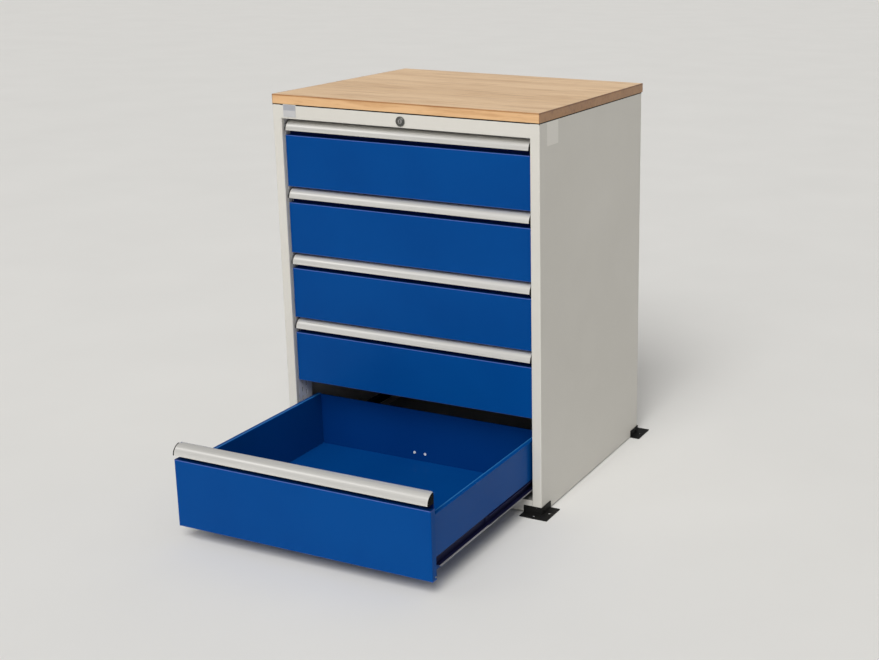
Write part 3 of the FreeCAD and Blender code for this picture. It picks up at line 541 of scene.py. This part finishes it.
# Bottom with a folded sill in front and a flange behind.
def bottomTray():
    low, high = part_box("bottom_tray")
    path = [(low.y + bottomSizes["return"], low.z + half), (low.y + half, low.z + half),
            (low.y + half, high.z - half), (high.y - half, high.z - half),
            (high.y - half, low.z)]
    addPiece("bottom_tray_sheet", [bentSheet(path, sheet, bend, low.x, high.x, "yzx")],
             bottomShadedPaint, "cabinet", ["bottom_tray"])


# Black strip filling the gap between the body and the worktop: painted shade under the worktop.
def worktopGapShade():
    low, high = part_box("side_panel_left")[0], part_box("side_panel_right")[1]
    inset, wide = worktopGapSizes["inset"], worktopGapSizes["wide"]
    left, front = low.x + inset, low.y + inset
    right, back = high.x - inset, high.y - inset
    floor = high.z - 2 * worktopGapSizes["gap"]
    shapes = []
    for x, y, width, depth in ((left, front, right - left, wide),
                               (left, back - wide, right - left, wide),
                               (left, front, wide, back - front),
                               (right - wide, front, wide, back - front)):
        shapes.append(plate((x, y, floor), (1, 0, 0), (0, 1, 0), (0, 0, 1), width, depth,
                            worktopGapSizes["corner"], 2 * worktopGapSizes["gap"] + worktopGapSizes["lap"]))
    addPiece("worktop_gap_shade", shapes, blackPlastic, "cabinet")


sidePanel("side_panel_left", -1)
sidePanel("side_panel_right", 1)
topRail()
bottomTray()
worktopGapShade()

edgeSizes = {"worktop": 1.2 * mm, "foot": 0.6 * mm, "cap": 0.5 * mm, "screw": 0.35 * mm,
             "bar": 0.3 * mm, "rail": 0.25 * mm}
softenEdges("worktop", edgeSizes["worktop"], 3)
for name in nodes:
    if name in ("foot_screws", "lock_housing", "lock_plug", "lock_nut"):
        softenEdges(name, edgeSizes["screw"])
    elif name.startswith("foot_"):
        softenEdges(name, edgeSizes["foot"])
    elif name in ("lock_brackets", "locking_bar", "drive_shaft", "worktop_screws"):
        softenEdges(name, edgeSizes["bar"])
    elif name.startswith(("upright_", "cabinet_rails")) or name.endswith(
            ("runners", "middle_rails", "catch")):
        softenEdges(name, edgeSizes["rail"], 1)

badgeSizes = {"left": -352.5 * mm, "width": 40 * mm, "height": 33.5 * mm, "drop": 0.7 * mm,
              "corner": 1.5 * mm, "thickness": 0.9 * mm, "frame": 1.2 * mm, "band": 17 * mm}


# Blank plate: a grey field above a pale band, in a rim.
def badge():
    low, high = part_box("top_rail")
    floor = high.z - badgeSizes["drop"] - badgeSizes["height"]
    rim, field = badgeSizes["frame"], badgeSizes["thickness"]
    addPiece("badge_rim", [plate(
        (badgeSizes["left"], low.y, floor), (1, 0, 0), (0, 0, 1), (0, -1, 0),
        badgeSizes["width"], badgeSizes["height"], badgeSizes["corner"], field * 0.6)],
        aluminium, "cabinet")
    width, band = badgeSizes["width"] - 2 * rim, badgeSizes["band"]
    fieldHeight = badgeSizes["height"] - 2 * rim - band
    for name, up, height, film in (("badge_band", 0, band, badgeBandFilm),
                                   ("badge_field", band, fieldHeight, badgeFilm)):
        addPiece(name, [plate(
            (badgeSizes["left"] + rim, low.y - field * 0.5, floor + rim + up), (1, 0, 0),
            (0, 0, 1), (0, -1, 0), width, height, badgeSizes["corner"] * 0.3, field * 0.5)],
            film, "cabinet")


labelSizes = {"front": 41 * mm, "width": 62 * mm, "height": 58 * mm, "drop": 3 * mm,
              "corner": 2 * mm, "thickness": 0.12 * mm}


# Blank sticker near the top of the right side.
def sideLabel():
    low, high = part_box("side_panel_right")
    floor = high.z - labelSizes["drop"] - labelSizes["height"]
    addPiece("side_label", [plate(
        (high.x, low.y + labelSizes["front"], floor),
        (0, 1, 0), (0, 0, 1), (1, 0, 0), labelSizes["width"], labelSizes["height"],
        labelSizes["corner"], labelSizes["thickness"])], labelFilm, "cabinet")


rivetSizes = {"head": 4.0 * mm, "dome": 1.4 * mm, "pocket": 1.3 * mm, "pocketLid": 0.03 * mm,
              "inset": 9 * mm, "first": 70 * mm, "pitch": 145 * mm, "count": 7}


# Profile of a domed head, sunk a little into what it sits on.
def domeProfile(radius, height):
    return [(-0.2 * mm, radius), (0, radius), (height * 0.45, radius * 0.93),
            (height * 0.8, radius * 0.65), (height, radius * 0.3)]


# Blind rivets that hold the back panel to the flanges of both sides, with near-black discs sunk
# in their heads as painted shade in the mandrel holes.
def rearRivets():
    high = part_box("side_panel_right")[1]
    dome = rivetSizes["dome"]
    profile = domeProfile(rivetSizes["head"], dome)
    pocket = [(dome * 0.5, rivetSizes["pocket"]),
              (dome + rivetSizes["pocketLid"], rivetSizes["pocket"])]
    heads, pockets = [], []
    for side in (-1, 1):
        for number in range(rivetSizes["count"]):
            spot = (side * (high.x - rivetSizes["inset"]), high.y,
                    rivetSizes["first"] + number * rivetSizes["pitch"])
            heads.append(turned(profile, spot, (0, 1, 0)))
            pockets.append(turned(pocket, spot, (0, 1, 0), 16))
    addPiece("rear_rivets", heads, zinc, "cabinet")
    addPiece("rear_rivet_hole_shades", pockets, shadeBlack, "cabinet")


keySizes = {"collar": 9.6 * mm, "collarDepth": 0.9 * mm, "chamfer": 0.5 * mm, "sunk": 0.2 * mm,
            "mouth": 6.9 * mm, "throat": 6.4 * mm, "bore": 6.3 * mm,
            "slotWidth": 2.6 * mm, "slotHeight": 8.4 * mm, "slotCorner": 0.6 * mm,
            "slotSunk": 0.15 * mm, "slotThickness": 0.3 * mm}


# Chromed collar round the plug, and a near-black plate in the key slot as painted shade in its
# mouth.
def lockFace():
    low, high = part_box("lock_housing")
    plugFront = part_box("lock_plug")[0].y
    middle = Vector(((low.x + high.x) / 2, low.y, (low.z + high.z) / 2))
    outer, deep, sunk = keySizes["collar"], keySizes["collarDepth"], keySizes["sunk"]
    profile = [(-sunk, outer), (deep * 0.5, outer), (deep, outer - keySizes["chamfer"]),
               (deep, keySizes["mouth"]), (deep * 0.2, keySizes["throat"]),
               (-sunk, keySizes["bore"])]
    addPiece("lock_collar", [turned(profile, middle, (0, -1, 0), 48, ring=True)], chrome,
             "cabinet")
    wide, tall = keySizes["slotWidth"], keySizes["slotHeight"]
    addPiece("key_slot", [plate(
        (-wide / 2, plugFront + keySizes["slotSunk"], middle.z - tall / 2), (1, 0, 0),
        (0, 0, 1), (0, -1, 0), wide, tall, keySizes["slotCorner"],
        keySizes["slotThickness"])], shadeBlack, "lock_rotor")


slotShadeSizes = {"behind": 2.2 * mm, "inset": 2 * mm, "thickness": 0.4 * mm}


# Near-black strips inside the slotted uprights, seen through their slots: painted shade behind
# the slots.
def uprightSlotShades():
    shapes = []
    for name in nodes:
        if name.startswith("upright_"):
            low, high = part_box(name)
            sign = 1 if low.x > 0 else -1
            web = min(abs(low.x), abs(high.x)) + slotShadeSizes["behind"]
            inset = slotShadeSizes["inset"]
            shapes.append(plate((sign * web, low.y + inset, low.z), (0, 1, 0), (0, 0, 1),
                                (sign, 0, 0), high.y - low.y - 2 * inset, high.z - low.z,
                                inset, slotShadeSizes["thickness"]))
    addPiece("upright_slot_shades", shapes, shadeBlack, "cabinet")


railStopSizes = {"inner": 355.0 * mm, "outer": 357.4 * mm, "length": 22 * mm,
                 "corner": 0.6 * mm, "proud": 0.6 * mm, "clear": 0.4 * mm}


# Black end pieces in the front mouths of the cabinet's slide members.
def railStops(side):
    sign = 1 if side == "right" else -1
    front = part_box("cabinet_rails_" + side)[0].y - railStopSizes["proud"]
    inner = min(sign * railStopSizes["inner"], sign * railStopSizes["outer"])
    width = railStopSizes["outer"] - railStopSizes["inner"]
    clear = railStopSizes["clear"]
    shapes = []
    for number in drawerNumbers:
        low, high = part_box("drawer_%d_middle_rails" % number)
        shapes.append(plate(
            (inner, front, low.z + clear), (1, 0, 0), (0, 0, 1), (0, 1, 0), width,
            high.z - low.z - 2 * clear, railStopSizes["corner"], railStopSizes["length"]))
    addPiece("rail_stops_" + side, shapes, blackPlastic, "cabinet")


badge()
sideLabel()
rearRivets()
lockFace()
uprightSlotShades()
railStops("left")
railStops("right")
print("carcass made")


# Folded front with a shelf and a strip behind the handle, and side returns.
def drawerFront(number):
    name = "drawer_%d_front" % number
    low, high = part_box(name)
    shelf = high.z - frontSizes["shelf"]
    back = low.y + frontSizes["depth"]
    inset = frontSizes["endGap"]
    section = [(high.y, high.z - half), (back - half, high.z - half),
               (back - half, shelf - half), (low.y + half, shelf - half),
               (low.y + half, low.z + half), (back - half, low.z + half),
               (back - half, low.z + frontSizes["flange"])]
    shapes = [bentSheet(section, sheet, bend, low.x + inset, high.x - inset, "yzx")]
    for edge, sign in ((low.x, -1), (high.x, 1)):
        plan = [(edge - sign * inset, low.y + half), (edge - sign * half, low.y + half),
                (edge - sign * half, back - half)]
        shapes.append(bentSheet(plan, sheet, bend, low.z, shelf, "xyz"))
    addPiece(name + "_sheet", shapes, drawerPaint, "drawer_%d" % number,
             [name])


handleSizes = {"radius": 25 * mm, "wall": 2 * mm, "lip": 1.5 * mm, "lipLength": 5.5 * mm,
               "groove": 0.3 * mm, "arcSteps": 40, "grooves": (3, 4, 36, 37),
               "flangeInset": 3 * mm, "flange": 4 * mm, "overlap": 0.2 * mm}


# Aluminium extrusion: quarter round with two fine grooves, a lip and a flange.
def drawerHandle(number):
    name = "drawer_%d_handle" % number
    low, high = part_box(name)
    radius, wall, lip = handleSizes["radius"], handleSizes["wall"], handleSizes["lip"]
    centre = Vector((low.x, low.y + radius, high.z - radius))
    build = bmesh.new()
    top = build.verts.new(centre + Vector((0, 0, radius)))
    bmesh.ops.spin(build, geom=[top], cent=centre, axis=(1, 0, 0), angle=math.pi / 2,
                   steps=handleSizes["arcSteps"])
    arc = sorted(build.verts, key=lambda point: -point.co.z)
    for step in handleSizes["grooves"]:
        arc[step].co = centre.lerp(arc[step].co, 1 - handleSizes["groove"] / radius)
    extruded(build, build.edges[:], (high.x - low.x, 0, 0))
    grow = thicknessTowards(next(iter(build.faces)), Vector((0, 1, -1)), wall)
    bmesh.ops.solidify(build, geom=build.faces[:], thickness=grow)
    shell = shapeFrom(build)
    overlap = handleSizes["overlap"]
    fold = plate((low.x, low.y + wall - overlap, centre.z + overlap / 4), (1, 0, 0), (0, 1, 0),
                 (0, 0, 1), high.x - low.x, handleSizes["lipLength"] + overlap, overlap,
                 lip - overlap / 4)
    inset = handleSizes["flangeInset"]
    flange = plate((low.x + inset, centre.y - wall, high.z - wall), (1, 0, 0), (0, 1, 0),
                   (0, 0, 1), high.x - low.x - 2 * inset, handleSizes["flange"] + wall,
                   lip / 2, wall)
    addPiece(name + "_extrusion", [shell, fold, flange], aluminium,
             "drawer_%d" % number, [name])


traySizes = {"sheet": 1 * mm, "rim": 13 * mm, "skirt": 44.5 * mm, "hem": 12 * mm,
             "hemDrop": 1.8 * mm}


# Tray: sides that fold over outward, two ends, and a hem on the far end.
def drawerTray(number):
    name = "drawer_%d_tray" % number
    low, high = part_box(name)
    thick = traySizes["sheet"]
    thin = thick / 2
    wall = high.x - traySizes["rim"] + thin
    outside = high.x - thin
    right = [(wall, low.z + thin), (wall, high.z - thin), (outside, high.z - thin),
             (outside, low.z + traySizes["skirt"])]
    section = [(-x, z) for x, z in right[::-1]] + right
    addPiece(name + "_sheet", [bentSheet(section, thick, bend, low.y, high.y, "xzy")],
             trayPaint, "drawer_%d" % number, [name])
    near = [(low.y + thin, low.z), (low.y + thin, high.z - thin)]
    hemTop = high.z - traySizes["hemDrop"]
    far = [(high.y - thin, low.z), (high.y - thin, hemTop)]
    hem = [(high.y - thin - thick, high.z - traySizes["hem"]), (high.y - thin - thick, hemTop)]
    ends = [bentSheet(path, thick, bend, -wall, wall, "yzx") for path in (near, far, hem)]
    # The ends use the darker blue as painted shade.
    addPiece(name + "_ends", ends, trayEndShadePaint, "drawer_%d" % number)


bufferSizes = {"inset": 9 * mm, "up": 8 * mm, "radius": 5 * mm, "length": 7 * mm,
               "sunk": 0.3 * mm, "studUp": 7 * mm, "studBack": 15 * mm, "stud": 2.6 * mm,
               "studDome": 0.9 * mm}


# Rubber buffers behind the front's lower corners, and a stud in each side return.
def frontFittings(number):
    low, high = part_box("drawer_%d_front" % number)
    back = low.y + frontSizes["depth"]
    radius, length = bufferSizes["radius"], bufferSizes["length"]
    rubberProfile = [(-bufferSizes["sunk"], radius), (length * 0.7, radius * 0.96),
                     (length * 0.93, radius * 0.8), (length, radius * 0.5)]
    buffers, studs = [], []
    for edge, sign in ((low.x, -1), (high.x, 1)):
        spot = (edge - sign * bufferSizes["inset"], back, low.z + bufferSizes["up"])
        buffers.append(turned(rubberProfile, spot, (0, 1, 0)))
        stud = (edge, low.y + bufferSizes["studBack"], low.z + bufferSizes["studUp"])
        studs.append(turned(domeProfile(bufferSizes["stud"], bufferSizes["studDome"]), stud,
                            (sign, 0, 0), 20))
    addPiece("drawer_%d_buffers" % number, buffers, rubber, "drawer_%d" % number)
    addPiece("drawer_%d_studs" % number, studs, chrome, "drawer_%d" % number)


slideEdgeSizes = {"back": 0.8 * mm, "proud": 3.9 * mm, "below": 1.2 * mm, "height": 1.2 * mm,
                  "ease": 0.3 * mm}


# Bright lip along the foot of each drawer's slides, as wide as the middle members.
def slideEdges(number):
    low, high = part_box("drawer_%d_runners" % number)
    width = slideEdgeSizes["back"] + slideEdgeSizes["proud"]
    shapes = []
    for inner in (high.x - slideEdgeSizes["back"], low.x - slideEdgeSizes["proud"]):
        shapes.append(plate((inner, high.y, low.z - slideEdgeSizes["below"]), (1, 0, 0),
                            (0, -1, 0), (0, 0, 1), width, high.y - low.y,
                            slideEdgeSizes["ease"], slideEdgeSizes["height"]))
    addPiece("drawer_%d_slide_edges" % number, shapes, edgeZinc, "drawer_%d" % number)


for number in drawerNumbers:
    drawerFront(number)
    drawerHandle(number)
    drawerTray(number)
    frontFittings(number)
    slideEdges(number)
    softenEdges("drawer_%d_end_caps" % number, edgeSizes["cap"])
print("drawers made")


floorLook = {"reach": 60.0, "clouds": 2.0, "dark": (0.75, 0.745, 0.73),
             "light": (0.77, 0.765, 0.75)}


def addFloor():
    build = bmesh.new()
    bmesh.ops.create_grid(build, x_segments=1, y_segments=1, size=floorLook["reach"])
    mesh = bpy.data.meshes.new("floor")
    build.to_mesh(mesh)
    build.free()
    floor = bpy.data.objects.new("floor", mesh)
    bpy.context.scene.collection.objects.link(floor)
    material, tree, shader = newMaterial("floor_pale", roughness=0.8, gloss=0.2)
    tone = noiseSocket(tree, floorLook["clouds"], detail=4)
    stops = [(0.3, floorLook["dark"]), (0.7, floorLook["light"])]
    tree.links.new(rampSocket(tree, tone, stops), shader.inputs["Base Color"])
    mesh.materials.append(material)


lightSizes = {
    "tint": (1.0, 0.99, 0.97), "world": 0.3,
    "suns": {"key": {"toward": (0.17, -0.64, 0.74), "strength": 2.35, "spread": 35},
             "low": {"toward": (0.1, -1.0, 0.25), "strength": 0.6, "spread": 50}},
    "strip": {"place": (-3.3, -3.2, 4.2), "target": (0, -0.5, 0.6), "size": (1.4, 0.35),
              "power": 10},
}


# Broad sun, so that the light is even over the whole floor.
def addSun(name, sun):
    data = bpy.data.lights.new(name, "SUN")
    data.energy = sun["strength"]
    data.angle = math.radians(sun["spread"])
    data.color = lightSizes["tint"]
    light = bpy.data.objects.new(name, data)
    light.rotation_euler = Vector(sun["toward"]).to_track_quat("Z", "Y").to_euler()
    bpy.context.scene.collection.objects.link(light)


# Long lamp that draws a bright line along the handles.
def addStrip(strip):
    place, target = Vector(strip["place"]), Vector(strip["target"])
    data = bpy.data.lights.new("strip", "AREA")
    data.shape = "RECTANGLE"
    data.size, data.size_y = strip["size"]
    data.energy = strip["power"]
    light = bpy.data.objects.new("strip", data)
    light.location = place
    light.rotation_euler = (place - target).to_track_quat("Z", "Y").to_euler()
    bpy.context.scene.collection.objects.link(light)


def addWorld():
    world = bpy.data.worlds.new("studio")
    world.use_nodes = True
    background = world.node_tree.nodes["Background"]
    background.inputs["Color"].default_value = (*lightSizes["tint"], 1)
    background.inputs["Strength"].default_value = lightSizes["world"]
    bpy.context.scene.world = world
    bpy.context.scene.view_settings.view_transform = "Standard"


# Focal length and optical axis are in pixels of the 879 x 660 frame.
cameraSizes = {"width": 879, "height": 660, "focal": 1370.4, "axisX": 614.5, "axisY": 281.7,
               "place": (1.82806, -3.21739, 1.50946), "azimuth": 23.254,
               "elevation": 15.319, "roll": 0.5375, "sensor": 36}


def addCamera():
    place = Vector(cameraSizes["place"])
    azimuth = math.radians(cameraSizes["azimuth"])
    elevation = math.radians(cameraSizes["elevation"])
    forward = Vector((-math.sin(azimuth) * math.cos(elevation),
                      math.cos(azimuth) * math.cos(elevation), -math.sin(elevation)))
    right = forward.cross(Vector((0, 0, 1))).normalized()
    up = right.cross(forward)
    tilt = Matrix.Rotation(-math.radians(cameraSizes["roll"]), 3, forward)
    right, up = tilt @ right, tilt @ up
    data = bpy.data.cameras.new("camera")
    data.sensor_width = cameraSizes["sensor"]
    data.lens = cameraSizes["focal"] / cameraSizes["width"] * data.sensor_width
    data.shift_x = (cameraSizes["width"] / 2 - cameraSizes["axisX"]) / cameraSizes["width"]
    data.shift_y = (cameraSizes["axisY"] - cameraSizes["height"] / 2) / cameraSizes["width"]
    camera = bpy.data.objects.new("camera", data)
    camera.matrix_world = Matrix.Translation(place) @ Matrix(
        (right, up, -forward)).transposed().to_4x4()
    bpy.context.scene.collection.objects.link(camera)
    bpy.context.scene.camera = camera


addFloor()
addWorld()
for name, sun in lightSizes["suns"].items():
    addSun(name, sun)
addStrip(lightSizes["strip"])
addCamera()
print("stage made")
